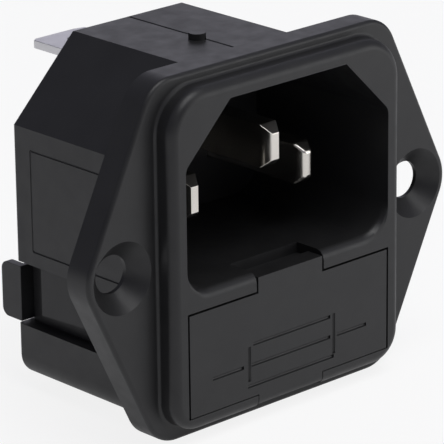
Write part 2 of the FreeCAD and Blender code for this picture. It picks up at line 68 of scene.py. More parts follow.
MM = 0.001
NEAR_MM = 0.01
log = logging.getLogger("inlet")

Point = tuple[float, float, float]
Colour = tuple[float, float, float]


class Body(Enum):
    """Rigid body that a piece moves with."""

    SOCKET = "socket"
    DRAWER = "drawer"


class Slot(Enum):
    """Material slot of the record that a piece takes its finish from."""

    PLASTIC = "black_plastic"
    PLATED = "nickel_plating"
    TINNED = "tinned_brass"
    SPRING = "spring_bronze"
    GLASS = "clear_glass"
    CAP = "fuse_cap_plating"
    WIRE = "fuse_wire_metal"


class ShaderTree:
    """Node material with one Principled shader, and short ways to add to it."""

    NOISE_LOW, NOISE_HIGH = 0.3, 0.7

    def __init__(self, name: str) -> None:
        """Makes the material.

        Args:
            name: the material's name.
        """
        self.material = bpy.data.materials.new(name)
        self.material.use_nodes = True
        self.tree = self.material.node_tree
        self.tree.nodes.clear()
        self.shader = self.tree.nodes.new("ShaderNodeBsdfPrincipled")
        output = self.tree.nodes.new("ShaderNodeOutputMaterial")
        self.tree.links.new(self.shader.outputs["BSDF"], output.inputs["Surface"])
        self.place = self.tree.nodes.new("ShaderNodeTexCoord").outputs["Object"]

    def set(self, **values: float | tuple) -> None:
        """Sets constant values on the shader's own sockets, underscores standing for spaces."""
        for key, value in values.items():
            self.shader.inputs[key.replace("_", " ")].default_value = value

    def noise(self, size_mm: float, detail: float,
              stretch: Point = (1.0, 1.0, 1.0)) -> bpy.types.NodeSocket:
        """Noise whose cells have a real size.

        Args:
            size_mm: size of a cell in millimetres.
            detail: octaves of finer noise.
            stretch: how many times longer a cell is along each axis.

        Returns:
            The noise's factor.
        """
        mapping = self.tree.nodes.new("ShaderNodeMapping")
        mapping.inputs["Scale"].default_value = tuple(1 / s for s in stretch)
        texture = self.tree.nodes.new("ShaderNodeTexNoise")
        texture.inputs["Scale"].default_value = 1 / (size_mm * MM)
        texture.inputs["Detail"].default_value = detail
        self.tree.links.new(self.place, mapping.inputs["Vector"])
        self.tree.links.new(mapping.outputs["Vector"], texture.inputs["Vector"])
        return texture.outputs[0]

    def spread(self, source: bpy.types.NodeSocket, low: float, high: float) -> bpy.types.NodeSocket:
        """Maps the middle of a noise onto a range of values.

        Args:
            source: factor to map.
            low: value at the noise's low end.
            high: value at its high end.

        Returns:
            The mapped value.
        """
        node = self.tree.nodes.new("ShaderNodeMapRange")
        limits = {"From Min": self.NOISE_LOW, "From Max": self.NOISE_HIGH, "To Min": low, "To Max": high}
        for key, value in limits.items():
            node.inputs[key].default_value = value
        self.tree.links.new(source, node.inputs["Value"])
        return node.outputs["Result"]

    def tint(self, source: bpy.types.NodeSocket, dark: Colour, light: Colour) -> None:
        """Colours the shader between two colours.

        Args:
            source: factor that chooses between them.
            dark: colour at the low end.
            light: colour at the high end.
        """
        ramp = self.tree.nodes.new("ShaderNodeValToRGB")
        stops = ramp.color_ramp.elements
        stops[0].position, stops[0].color = self.NOISE_LOW, (*dark, 1.0)
        stops[1].position, stops[1].color = self.NOISE_HIGH, (*light, 1.0)
        self.tree.links.new(source, ramp.inputs["Fac"])
        self.tree.links.new(ramp.outputs["Color"], self.shader.inputs["Base Color"])

    def rough(self, source: bpy.types.NodeSocket, low: float, high: float) -> None:
        """Varies the roughness with a noise between two values."""
        self.tree.links.new(self.spread(source, low, high), self.shader.inputs["Roughness"])

    def bump(self, layers: list[tuple[bpy.types.NodeSocket, float]]) -> None:
        """Raises the surface by layers of noise.

        Args:
            layers: factors, each with its depth in millimetres.
        """
        normal = None
        for height, depth_mm in layers:
            node = self.tree.nodes.new("ShaderNodeBump")
            node.inputs["Strength"].default_value = 1.0
            node.inputs["Distance"].default_value = depth_mm * MM
            self.tree.links.new(height, node.inputs["Height"])
            if normal:
                self.tree.links.new(normal, node.inputs["Normal"])
            normal = node.outputs["Normal"]
        self.tree.links.new(normal, self.shader.inputs["Normal"])


def shade(colour: Colour, factor: float) -> Colour:
    """The same colour made darker or lighter."""
    return tuple(min(1.0, channel * factor) for channel in colour)


@dataclass(frozen=True)
class MouldedPlastic:
    """Satin thermoplastic: a spark-eroded grain, with flow marks that change its sheen."""

    name: str = "satin_moulded_plastic"
    colour: Colour = (0.0130, 0.0130, 0.0134)
    variation: float = 0.12
    roughness: tuple[float, float] = (0.38, 0.47)
    specular: float = 0.42
    grain_mm: float = 0.12
    grain_depth_mm: float = 0.0022
    flow_mm: float = 4.5
    sheen_mm: float = 1.5
    sink_depth_mm: float = 0.004

    def material(self) -> bpy.types.Material:
        """Builds the node material.

        Returns:
            The material.
        """
        tree = ShaderTree(self.name)
        tree.set(Specular_IOR_Level=self.specular)
        flow = tree.noise(self.flow_mm, 2.0)
        grain = tree.noise(self.grain_mm, 2.0)
        tree.tint(flow, shade(self.colour, 1 - self.variation), shade(self.colour, 1 + self.variation))
        tree.rough(tree.noise(self.sheen_mm, 4.0), *self.roughness)
        tree.bump([(flow, self.sink_depth_mm), (grain, self.grain_depth_mm)])
        return tree.material


@dataclass(frozen=True)
class PlatedMetal:
    """Plated or bare strip metal: drawing lines along the strip and a faint uneven tarnish."""

    name: str
    colour: Colour
    tarnish: float
    roughness: tuple[float, float]
    line_mm: float = 0.12
    line_stretch: Point = (1.0, 30.0, 1.0)
    line_depth_mm: float = 0.0002
    tarnish_mm: float = 2.6
    sheen_mm: float = 1.3

    def material(self) -> bpy.types.Material:
        """Builds the node material.

        Returns:
            The material.
        """
        tree = ShaderTree(self.name)
        tree.set(Metallic=1.0)
        cloud = tree.noise(self.tarnish_mm, 4.0)
        lines = tree.noise(self.line_mm, 2.0, self.line_stretch)
        tree.tint(cloud, shade(self.colour, 1 - self.tarnish), self.colour)
        tree.rough(tree.noise(self.sheen_mm, 3.0), *self.roughness)
        tree.bump([(lines, self.line_depth_mm)])
        return tree.material


@dataclass(frozen=True)
class TubeGlass:
    """Clear drawn glass with the faintest ripple."""

    name: str = "drawn_tube_glass"
    colour: Colour = (0.96, 0.985, 0.975)
    roughness: float = 0.03
    refraction: float = 1.5
    ripple_mm: float = 2.5
    ripple_stretch: Point = (4.0, 1.0, 1.0)
    ripple_depth_mm: float = 0.004

    def material(self) -> bpy.types.Material:
        """Builds the node material.

        Returns:
            The material.
        """
        tree = ShaderTree(self.name)
        tree.set(Base_Color=(*self.colour, 1.0), Roughness=self.roughness, IOR=self.refraction,
                 Transmission_Weight=1.0)
        tree.bump([(tree.noise(self.ripple_mm, 1.0, self.ripple_stretch), self.ripple_depth_mm)])
        return tree.material


class Finishes:
    """One material for each slot, shared by every piece that has it."""

    def __init__(self) -> None:
        """Builds all the materials."""
        finishes = {
            Slot.PLASTIC: MouldedPlastic(),
            Slot.PLATED: PlatedMetal("bright_nickel_plate", (0.74, 0.71, 0.655), 0.08, (0.17, 0.24)),
            Slot.TINNED: PlatedMetal("dull_tin_plate", (0.66, 0.655, 0.67), 0.10, (0.30, 0.40)),
            Slot.SPRING: PlatedMetal("bare_spring_bronze", (0.62, 0.37, 0.19), 0.22, (0.26, 0.40)),
            Slot.GLASS: TubeGlass(),
            Slot.CAP: PlatedMetal("rolled_cap_plate", (0.79, 0.78, 0.76), 0.08, (0.14, 0.24),
                                  line_stretch=(1.0, 1.0, 1.0)),
            Slot.WIRE: PlatedMetal("tinned_fuse_wire", (0.62, 0.60, 0.57), 0.12, (0.30, 0.42),
                                   line_stretch=(30.0, 1.0, 1.0)),
        }
        self.by_slot = {slot: finish.material() for slot, finish in finishes.items()}

    def __getitem__(self, slot: Slot) -> bpy.types.Material:
        """The material of a slot."""
        return self.by_slot[slot]


@dataclass(frozen=True)
class Stroke:
    """One engraved line, given by its two ends in millimetres."""

    start: Point
    end: Point


class EngravingTree:
    """Geometry Nodes tree that sweeps a round cutter along every spline of a curve."""

    PROFILE_SIDES = 10

    def __init__(self) -> None:
        """Builds the tree, with named inputs for the cutter's width and its material."""
        tree = bpy.data.node_groups.new("engraving_cutter", "GeometryNodeTree")
        tree.interface.new_socket("Path", in_out="INPUT", socket_type="NodeSocketGeometry")
        width = tree.interface.new_socket("Line Width", in_out="INPUT", socket_type="NodeSocketFloat")
        finish = tree.interface.new_socket("Finish", in_out="INPUT", socket_type="NodeSocketMaterial")
        tree.interface.new_socket("Cutter", in_out="OUTPUT", socket_type="NodeSocketGeometry")
        add, link = tree.nodes.new, tree.links.new
        given, made = add("NodeGroupInput"), add("NodeGroupOutput")
        half = add("ShaderNodeMath")
        half.operation = "MULTIPLY"
        half.inputs[1].default_value = 0.5
        profile = add("GeometryNodeCurvePrimitiveCircle")
        profile.inputs["Resolution"].default_value = self.PROFILE_SIDES
        sweep = add("GeometryNodeCurveToMesh")
        sweep.inputs["Fill Caps"].default_value = True
        realize, paint = add("GeometryNodeRealizeInstances"), add("GeometryNodeSetMaterial")
        link(given.outputs["Line Width"], half.inputs[0])
        link(half.outputs[0], profile.inputs["Radius"])
        link(given.outputs["Path"], sweep.inputs["Curve"])
        link(profile.outputs["Curve"], sweep.inputs["Profile Curve"])
        link(sweep.outputs["Mesh"], realize.inputs["Geometry"])
        link(realize.outputs["Geometry"], paint.inputs["Geometry"])
        link(given.outputs["Finish"], paint.inputs["Material"])
        link(paint.outputs["Geometry"], made.inputs["Cutter"])
        self.tree, self.width_id, self.finish_id = tree, width.identifier, finish.identifier

    def cutter(self, name: str, strokes: list[Stroke], width_mm: float,
               finish: bpy.types.Material) -> bpy.types.Object:
        """Makes the solid that engraves a set of lines.

        Args:
            name: the cutter's name.
            strokes: the lines to engrave.
            width_mm: width of a line; it is half as deep.
            finish: material left on the engraved walls.

        Returns:
            The cutter, a mesh in millimetres.
        """
        curve = bpy.data.curves.new(name + "_path", "CURVE")
        curve.dimensions = "3D"
        for stroke in strokes:
            spline = curve.splines.new("POLY")
            spline.points.add(1)
            for point, place in zip(spline.points, (stroke.start, stroke.end)):
                point.co = (*place, 1.0)
        path = bpy.data.objects.new(name + "_path", curve)
        bpy.context.scene.collection.objects.link(path)
        modifier = path.modifiers.new("engrave", "NODES")
        modifier.node_group = self.tree
        modifier[self.width_id] = width_mm
        modifier[self.finish_id] = finish
        mesh = baked_mesh(path, name)
        bpy.data.objects.remove(path)
        cutter = bpy.data.objects.new(name, mesh)
        bpy.context.scene.collection.objects.link(cutter)
        return cutter


def baked_mesh(obj: bpy.types.Object, name: str) -> bpy.types.Mesh:
    """A plain mesh of an object with its modifiers applied.

    Args:
        obj: the object to read.
        name: the new mesh's name.

    Returns:
        The new mesh.
    """
    bpy.context.view_layer.update()
    depsgraph = bpy.context.evaluated_depsgraph_get()
    mesh = bpy.data.meshes.new_from_object(obj.evaluated_get(depsgraph), depsgraph=depsgraph)
    mesh.name = name
    return mesh


@dataclass
class Softening:
    """Rounding of a moulded or stamped piece's sharp edges."""

    radius_mm: float
    segments: int = 2
    angle_deg: float = 32.0


class Workpiece:
    """Copy of a frame node's mesh, worked on in millimetres and then put in its place."""

    WELD_MM = 0.001
    FLAT_DEG = 0.2
    SMOOTH_DEG = 32.0

    def __init__(self, node: str) -> None:
        """Copies the node's mesh and joins its loose triangles.

        Args:
            node: name of the frame node.
        """
        self.node = node
        mesh = frame["nodes"][node].data.copy()
        mesh.materials.clear()
        mesh.transform(Matrix.Scale(1 / MM, 4))
        tool = bmesh.new()
        tool.from_mesh(mesh)
        bmesh.ops.remove_doubles(tool, verts=tool.verts, dist=self.WELD_MM)
        bmesh.ops.dissolve_limit(tool, angle_limit=math.radians(self.FLAT_DEG), verts=tool.verts,
                                 edges=tool.edges)
        tool.to_mesh(mesh)
        tool.free()
        self.obj = bpy.data.objects.new(node + "_work", mesh)
        bpy.context.scene.collection.objects.link(self.obj)

    def _apply(self) -> None:
        """Replaces the mesh by what its modifiers make of it."""
        mesh = baked_mesh(self.obj, self.obj.name)
        self.obj.modifiers.clear()
        self.obj.data = mesh

    def soften(self, softening: Softening) -> "Workpiece":
        """Rounds the sharp edges.

        Args:
            softening: radius and steps of the rounding, and how sharp an edge has to be.

        Returns:
            The piece itself.
        """
        bevel = self.obj.modifiers.new("soften", "BEVEL")
        bevel.width = softening.radius_mm
        bevel.segments = softening.segments
        bevel.limit_method = "ANGLE"
        bevel.angle_limit = math.radians(softening.angle_deg)
        bevel.use_clamp_overlap = True
        self._apply()
        return self

    def round_edges(self, chosen: Callable[[Vector, Vector], bool], radius_mm: float, segments: int,
                    sharper_than_deg: float = 40.0) -> "Workpiece":
        """Rounds the sharp edges that a rule picks.

        Args:
            chosen: says yes to an edge, given its two ends in millimetres.
            radius_mm: radius of the rounding.
            segments: flat steps that make it.
            sharper_than_deg: edges flatter than this are left alone.

        Returns:
            The piece itself.
        """
        tool = bmesh.new()
        tool.from_mesh(self.obj.data)
        limit = math.radians(sharper_than_deg)
        edges = [edge for edge in tool.edges if edge.is_manifold and edge.calc_face_angle() > limit
                 and chosen(edge.verts[0].co, edge.verts[1].co)]
        bmesh.ops.bevel(tool, geom=edges, offset=radius_mm, segments=segments, profile=0.5,
                        affect="EDGES", clamp_overlap=True)
        tool.to_mesh(self.obj.data)
        tool.free()
        return self

    def reshape(self, moved: Callable[[Vector], Vector | None]) -> "Workpiece":
        """Moves the points that a rule gives a new place.

        Args:
            moved: gives a point's new place in millimetres, or None if it stays.

        Returns:
            The piece itself.
        """
        for vert in self.obj.data.vertices:
            place = moved(vert.co)
            if place:
                vert.co = place
        return self

    def taper_tip(self, length_mm: float, share: float) -> "Workpiece":
        """Thins the rear tip of a flat tab towards its end.

        Args:
            length_mm: length of the tapered stretch.
            share: thickness left at the end, as a share of the tab's own.

        Returns:
            The piece itself.
        """
        tool = bmesh.new()
        tool.from_mesh(self.obj.data)
        end = max(vert.co.y for vert in tool.verts)
        start = end - length_mm
        everything = tool.verts[:] + tool.edges[:] + tool.faces[:]
        bmesh.ops.bisect_plane(tool, geom=everything, plane_co=(0.0, start, 0.0), plane_no=(0.0, 1.0, 0.0))
        tip = [vert for vert in tool.verts if vert.co.y > start - self.WELD_MM]
        spans = [max(vert.co[axis] for vert in tip) - min(vert.co[axis] for vert in tip) for axis in range(3)]
        thin = 0 if spans[0] < spans[2] else 2
        middle = (max(vert.co[thin] for vert in tip) + min(vert.co[thin] for vert in tip)) / 2
        for vert in tip:
            kept = 1 - (1 - share) * max(0.0, vert.co.y - start) / length_mm
            vert.co[thin] = middle + (vert.co[thin] - middle) * kept
        tool.to_mesh(self.obj.data)
        tool.free()
        return self

    def cut(self, cutter: bpy.types.Object) -> "Workpiece":
        """Takes a cutter's shape out of the piece, and removes the cutter.

        Args:
            cutter: closed mesh in millimetres.

        Returns:
            The piece itself.
        """
        boolean = self.obj.modifiers.new("cut", "BOOLEAN")
        boolean.operation = "DIFFERENCE"
        boolean.solver = "EXACT"
        boolean.use_self = True
        boolean.object = cutter
        self._apply()
        bpy.data.objects.remove(cutter)
        return self

    def finish(self, name: str, body: Body, slot: Slot, material: bpy.types.Material) -> bpy.types.Object:
        """Shades the piece, puts it in its place and gives it its finish.

        Args:
            name: name of the finished piece.
            body: body that it rides on.
            slot: record slot of its finish.
            material: the finish.

        Returns:
            The finished piece.
        """
        mesh = self.obj.data
        mesh.shade_smooth()
        mesh.set_sharp_from_angle(angle=math.radians(self.SMOOTH_DEG))
        weighted = self.obj.modifiers.new("even_shading", "WEIGHTED_NORMAL")
        weighted.keep_sharp = True
        self._apply()
        mesh = self.obj.data
        mesh.transform(Matrix.Scale(MM, 4))
        mesh.materials.clear()
        mesh.materials.append(material)
        for polygon in mesh.polygons:
            polygon.material_index = 0
        self.obj.name = mesh.name = name
        place(self.obj, body, slot, self.node)
        return self.obj


def place(piece: bpy.types.Object, body: Body, slot: Slot, *nodes: str) -> None:
    """Makes a piece ride on its body, in place of the frame nodes it stands for.

    Args:
        piece: the finished piece.
        body: body that it rides on.
        slot: record slot of its finish; not used.
        nodes: frame nodes that it replaces.
    """
    if nodes:
        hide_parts(*nodes)
    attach(piece, body.value)
    log.info("%s: %d faces on %s", piece.name, len(piece.data.polygons), body.value)


@dataclass(frozen=True)
class RoundedCorner:
    """Rounded corner in the X-Z plane: its centre and radius in millimetres, and its span of angles.

    SLACK is how far outside it, in millimetres or radians, a point still counts as on it.
    """

    SLACK = 0.02

    x: float
    z: float
    radius: float
    turn: tuple[float, float]

    def place(self, turn: float, depth: float) -> tuple[float, float]:
        """X and Z of the point whose outward normal has an angle, at a depth inside the outline."""
        reach = self.radius - depth
        return self.x + reach * math.cos(turn), self.z + reach * math.sin(turn)

    def moved_to(self, other: "RoundedCorner", x: float, z: float, skin: float) -> tuple[float, float] | None:
        """Moves a point of this corner to the same place on another one.

        Args:
            other: the corner to move to.
            x: the point's X.
            z: the point's Z.
            skin: how deep inside the outline a point still counts as its own.

        Returns:
            The new X and Z, or None for a point that isn't on the corner.
        """
        depth = self.radius - math.hypot(x - self.x, z - self.z)
        turn = math.atan2(z - self.z, x - self.x)
        low, high = self.turn
        if not (-self.SLACK < depth < skin and low - self.SLACK < turn < high + self.SLACK):
            return None
        share = (turn - low) / (high - low)
        return other.place(other.turn[0] + share * (other.turn[1] - other.turn[0]), depth)


@dataclass(frozen=True)
class FlangeEar:
    """Ear of the flange: its screw, the margin round it and the flange's height, in millimetres."""

    screw_x: float
    margin: float
    half_height: float

    def corner(self, apex_x: float, radius: float) -> RoundedCorner:
        """Upper right corner of the flange, between its top edge and the edge that slants to the ear.

        Args:
            apex_x: X at which the two edges would meet.
            radius: radius of the corner.

        Returns:
            The corner.
        """
        off = apex_x - self.screw_x
        slant = math.atan2(self.half_height, off) - math.acos(self.margin / math.hypot(off, self.half_height))
        z = self.half_height - radius
        x = apex_x - (radius - radius * math.sin(slant)) / math.cos(slant)
        return RoundedCorner(x, z, radius, (slant, math.pi / 2))


@dataclass
class Housing:
    """Moulded housing with its engraved border, its parting line and softened edges."""

    finishes: Finishes
    engraving: EngravingTree
    softening: Softening = field(default_factory=lambda: Softening(0.10))
    border_width_mm: float = 0.2
    border_rear_mm: float = 14.2
    border_top_mm: float = 6.6
    border_bottom_mm: float = -2.95
    border_front_mm: float = 0.6
    parting_width_mm: float = 0.28
    parting_front_mm: float = 0.2
    parting_rear_mm: float = 16.3
    mouth_radius_mm: float = 0.4
    mouth_steps: int = 4
    mouth_reach_mm: float = 12.8
    ear_relief_radius_mm: float = 2.8
    ear_relief_depth_mm: float = 0.8
    ear_relief_sides: int = 48
    skin_mm: float = 0.45
    flange_back_mm: float = 0.02
    flange_front_mm: float = -2.8
    flange_corner_mm: tuple[float, float] = (13.25, 5.7)
    squarer_corner_mm: tuple[float, float] = (14.2, 3.6)
    body_half_mm: float = 13.8
    underside_mm: tuple[float, float] = (-14.2, 1.5)
    fuller_underside_mm: tuple[float, float] = (-15.6, 2.2)

    def border(self) -> list[Stroke]:
        """Border around the bare place on the left side, open towards the flange.

        Returns:
            Its three lines.
        """
        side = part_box("rear_cover")[0].x / MM
        rear, top, bottom = self.border_rear_mm, self.border_top_mm, self.border_bottom_mm
        front = self.border_front_mm
        return [Stroke((side, rear, bottom), (side, rear, top)),
                Stroke((side, front, top), (side, rear, top)),
                Stroke((side, front, bottom), (side, rear, bottom))]

    def parting_line(self, piece: Workpiece) -> list[Stroke]:
        """Line where the mould's halves meet along the top.

        Args:
            piece: the housing, which gives the height of its top.

        Returns:
            The line.
        """
        behind = [vert.co.z for vert in piece.obj.data.vertices if vert.co.y > self.parting_rear_mm / 2]
        top = max(behind)
        return [Stroke((0.0, self.parting_front_mm, top), (0.0, self.parting_rear_mm, top))]

    def screw_x(self) -> float:
        """X of the right screw's axis in millimetres."""
        screws = next(mount for mount in frame["record"]["mounts"] if mount["name"] == "panel_screws")
        return screws["dims"]["spacing_x_mm"] / 2

    def fuller_form(self) -> Callable[[Vector], Vector | None]:
        """Rule that moves the flange's corners and the body's underside out to their full form.

        Returns:
            Rule that gives a point's new place, or None for one that stays.
        """
        low, high = (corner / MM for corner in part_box("housing"))
        ear = FlangeEar(self.screw_x(), high.x - self.screw_x(), high.z)
        flange = [ear.corner(*sizes) for sizes in (self.flange_corner_mm, self.squarer_corner_mm)]
        turn = (-math.pi / 2, 0.0)
        body = [RoundedCorner(self.body_half_mm - radius, bottom + radius, radius, turn)
                for bottom, radius in (self.underside_mm, self.fuller_underside_mm)]
        drop = self.fuller_underside_mm[0] - self.underside_mm[0]

        def moved(point: Vector) -> Vector | None:
            """New place of a point, or None for one that stays."""
            side, level = math.copysign(1.0, point.x), math.copysign(1.0, point.z)
            if self.flange_front_mm < point.y < self.flange_back_mm:
                place = flange[0].moved_to(flange[1], abs(point.x), abs(point.z), self.skin_mm)
                if place:
                    return Vector((side * place[0], point.y, level * place[1]))
            if point.y < -self.flange_back_mm:
                return None
            place = body[0].moved_to(body[1], abs(point.x), point.z, self.skin_mm)
            if place:
                return Vector((side * place[0], point.y, place[1]))
            if abs(point.z - self.underside_mm[0]) < self.skin_mm:
                return Vector((point.x, point.y, point.z + drop))
            return None

        return moved

    def mouth_rule(self) -> Callable[[Vector, Vector], bool]:
        """Rule that picks the edges on the front rim of the opening, above the drawer.

        Returns:
            Rule that says yes to an edge, given its two ends.
        """
        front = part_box("housing")[0].y / MM
        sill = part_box("fuse_drawer")[1].z / MM

        def on_rim(point: Vector) -> bool:
            """Whether a point lies on the rim."""
            return abs(point.y - front) < NEAR_MM and point.z > sill and abs(point.x) < self.mouth_reach_mm

        return lambda start, end: on_rim(start) and on_rim(end)

    def ear_reliefs(self) -> bpy.types.Object:
        """Cutter for the shallow pockets behind the two screw holes.

        Returns:
            The cutter, a mesh in millimetres.
        """
        mesh = bpy.data.meshes.new("ear_reliefs")
        tool = bmesh.new()
        for x in (-self.screw_x(), self.screw_x()):
            turned = Matrix.Translation((x, 0.0, 0.0)) @ Matrix.Rotation(math.pi / 2, 4, "X")
            bmesh.ops.create_cone(tool, cap_ends=True, segments=self.ear_relief_sides,
                                  radius1=self.ear_relief_radius_mm, radius2=self.ear_relief_radius_mm,
                                  depth=2 * self.ear_relief_depth_mm, matrix=turned)
        tool.to_mesh(mesh)
        tool.free()
        cutter = bpy.data.objects.new("ear_reliefs", mesh)
        bpy.context.scene.collection.objects.link(cutter)
        return cutter

    def build(self) -> bpy.types.Object:
        """Builds the housing's visible piece.

        Returns:
            The finished piece.
        """
        plastic = self.finishes[Slot.PLASTIC]
        piece = Workpiece("housing").reshape(self.fuller_form())
        piece.round_edges(self.mouth_rule(), self.mouth_radius_mm, self.mouth_steps)
        piece.cut(self.ear_reliefs()).soften(self.softening)
        piece.cut(self.engraving.cutter("side_border", self.border(), self.border_width_mm, plastic))
        parting = self.parting_line(piece)
        piece.cut(self.engraving.cutter("parting_line", parting, self.parting_width_mm, plastic))
        return piece.finish("housing_moulding", Body.SOCKET, Slot.PLASTIC, plastic)


@dataclass
class FuseDrawer:
    """Drawer moulding with the fuse symbol engraved in its face."""

    finishes: Finishes
    engraving: EngravingTree
    softening: Softening = field(default_factory=lambda: Softening(0.12))
    line_mm: float = 0.36
    link_left_mm: float = -5.1
    link_right_mm: float = 5.4
    link_top_mm: float = -9.1
    link_bottom_mm: float = -13.0
    lead_inner_mm: float = 5.8
    lead_outer_mm: float = 9.55
    line_gap_mm: float = 0.45

    def symbol(self) -> list[Stroke]:
        """Strokes of the fuse symbol: an open rectangle with a line through it and a lead each side.

        Returns:
            The strokes, on the drawer's face.
        """
        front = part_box("fuse_drawer")[0].y / MM
        left, right = self.link_left_mm, self.link_right_mm
        top, bottom = self.link_top_mm, self.link_bottom_mm
        middle, gap = (top + bottom) / 2, self.line_gap_mm

        def line(x0: float, z0: float, x1: float, z1: float) -> Stroke:
            """A stroke on the drawer's face."""
            return Stroke((x0, front, z0), (x1, front, z1))

        return [
            line(left + gap, top, right - gap, top),
            line(left + gap / 2, middle, right - gap, middle),
            line(left - gap / 2, bottom, right, bottom),
            line(left, top - gap / 3, left, bottom + gap),
            line(right, top + gap / 2, right, bottom + gap / 2),
            line(-self.lead_outer_mm, middle, -self.lead_inner_mm, middle),
            line(self.lead_inner_mm, middle, self.lead_outer_mm, middle),
        ]

    def build(self) -> bpy.types.Object:
        """Builds the drawer's visible piece.

        Returns:
            The finished piece.
        """
        plastic = self.finishes[Slot.PLASTIC]
        piece = Workpiece("fuse_drawer").soften(self.softening)
        piece.cut(self.engraving.cutter("fuse_symbol", self.symbol(), self.line_mm, plastic))
        return piece.finish("drawer_moulding", Body.DRAWER, Slot.PLASTIC, plastic)


@dataclass
class StampedParts:
    """Pins, terminals, springs and cover: frame nodes with their edges softened."""

    finishes: Finishes
    pin_edge: Softening = field(default_factory=lambda: Softening(0.28, 4))
    strip_edge: Softening = field(default_factory=lambda: Softening(0.07))
    spring_edge: Softening = field(default_factory=lambda: Softening(0.04))
    cover_edge: Softening = field(default_factory=lambda: Softening(0.10))
    tab_nodes: tuple[str, ...] = ("line_terminal", "neutral_terminal", "earth_terminal")
    tip_length_mm: float = 0.9
    tip_share: float = 0.5
    pin_taper_mm: float = 1.4
    blunter_taper_mm: float = 1.0

    def blunter_tip(self, node: str) -> Callable[[Vector], Vector | None]:
        """Rule that shortens the taper of a pin's tip.

        Args:
            node: the pin's frame node.

        Returns:
            Rule that gives a point's new place, or None for one that stays.
        """
        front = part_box(node)[0].y / MM

        def moved(point: Vector) -> Vector | None:
            """New place of a point, or None for one that stays."""
            if abs(point.y - front - self.pin_taper_mm) > NEAR_MM:
                return None
            return Vector((point.x, front + self.blunter_taper_mm, point.z))

        return moved

    def build(self) -> None:
        """Builds every piece of the kind."""
        kinds = [
            (Slot.PLATED, self.pin_edge, ("line_pin", "neutral_pin", "earth_pin")),
            (Slot.TINNED, self.strip_edge, ("line_link", *self.tab_nodes)),
            (Slot.SPRING, self.spring_edge, ("fuse_spring_right", "fuse_spring_left")),
            (Slot.PLASTIC, self.cover_edge, ("rear_cover",)),
        ]
        for slot, softening, nodes in kinds:
            for node in nodes:
                piece = Workpiece(node)
                if slot is Slot.PLATED:
                    piece.reshape(self.blunter_tip(node))
                if node in self.tab_nodes:
                    piece.taper_tip(self.tip_length_mm, self.tip_share)
                piece.soften(softening).finish(node + "_piece", Body.SOCKET, slot, self.finishes[slot])


class Turned:
    """Round part made by turning a closed profile about an axis along X."""

    AROUND = 40
    SMOOTH_DEG = 40.0

    def __init__(self, name: str, profile: list[tuple[float, float]], centre: Vector, side: int = 1) -> None:
        """Turns the profile.

        Args:
            name: the part's name.
            profile: (x, radius) points in millimetres, in order round the section.
            centre: centre of the fuse in metres.
            side: 1 or -1, to mirror the part in X.
        """
        tool = bmesh.new()
        rings = []
        for x, radius in profile:
            if radius == 0.0:
                rings.append([tool.verts.new((side * x * MM, 0.0, 0.0))])
                continue
            turns = (2 * math.pi * i / self.AROUND for i in range(self.AROUND))
            along, reach = side * x * MM, radius * MM
            rings.append([tool.verts.new((along, reach * math.cos(a), reach * math.sin(a))) for a in turns])
        closed = len(rings[0]) > 1 or len(rings[-1]) > 1
        pairs = list(zip(rings, rings[1:])) + ([(rings[-1], rings[0])] if closed else [])
        for first, second in pairs:
            for i in range(self.AROUND):
                corners = [first[i % len(first)], first[(i + 1) % len(first)],
                           second[(i + 1) % len(second)], second[i % len(second)]]
                face = list(dict.fromkeys(corners))
                if len(face) > 2:
                    tool.faces.new(face)
        bmesh.ops.translate(tool, verts=tool.verts, vec=centre)
        bmesh.ops.recalc_face_normals(tool, faces=tool.faces)
        self.mesh = bpy.data.meshes.new(name)
        tool.to_mesh(self.mesh)
        tool.free()
        self.mesh.shade_smooth()
        self.mesh.set_sharp_from_angle(angle=math.radians(self.SMOOTH_DEG))
        self.obj = bpy.data.objects.new(name, self.mesh)
        bpy.context.scene.collection.objects.link(self.obj)


